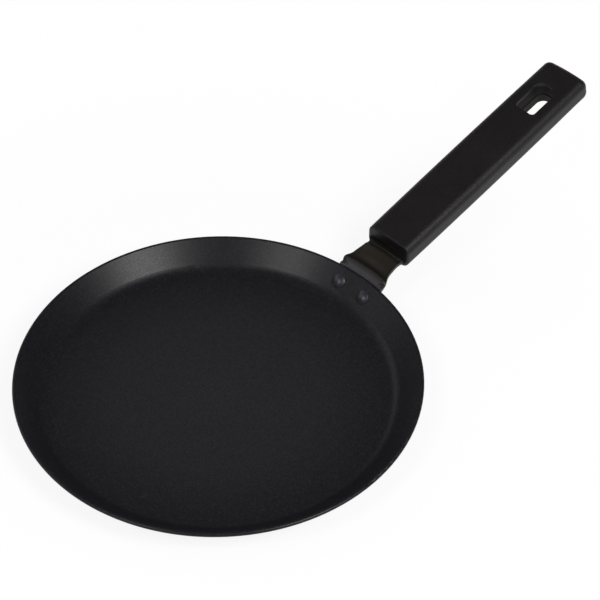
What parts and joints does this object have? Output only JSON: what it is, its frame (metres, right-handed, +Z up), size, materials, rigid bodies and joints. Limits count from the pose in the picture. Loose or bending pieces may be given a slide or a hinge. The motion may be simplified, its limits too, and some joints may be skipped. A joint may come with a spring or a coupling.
{
  "type": "crepe pan",
  "caption": "Shallow round crepe pan with a flared wall, a riveted metal handle bracket and a straight soft-touch grip with a hanging hole.",
  "frame": {"origin": "centre of the pan's underside, on the surface it stands on", "axes": "+Z up out of the bowl; +X from the middle of the bowl along the handle"},
  "size_m": [0.395, 0.22, 0.0646],
  "materials": {
    "coated_aluminium": "black non-stick coating, fine speckle, satin",
    "disc_steel": "brushed",
    "rivet_aluminium": "black coating over a domed head",
    "bracket_paint": "gunmetal brown-grey paint, satin",
    "core_plastic": "hard moulded plastic, semi-matt",
    "sleeve_soft": "soft-touch, fine grain, matt",
    "screw_steel": "zinc plated"
  },
  "bodies": {
    "root": {"pan_body": "coated_aluminium", "induction_disc": "disc_steel", "rivets": "rivet_aluminium", "handle_bracket": "bracket_paint", "grip_core": "core_plastic", "grip_sleeve": "sleeve_soft", "grip_screws": "screw_steel", "spring_washers": "screw_steel"}
  },
  "joints": []
}
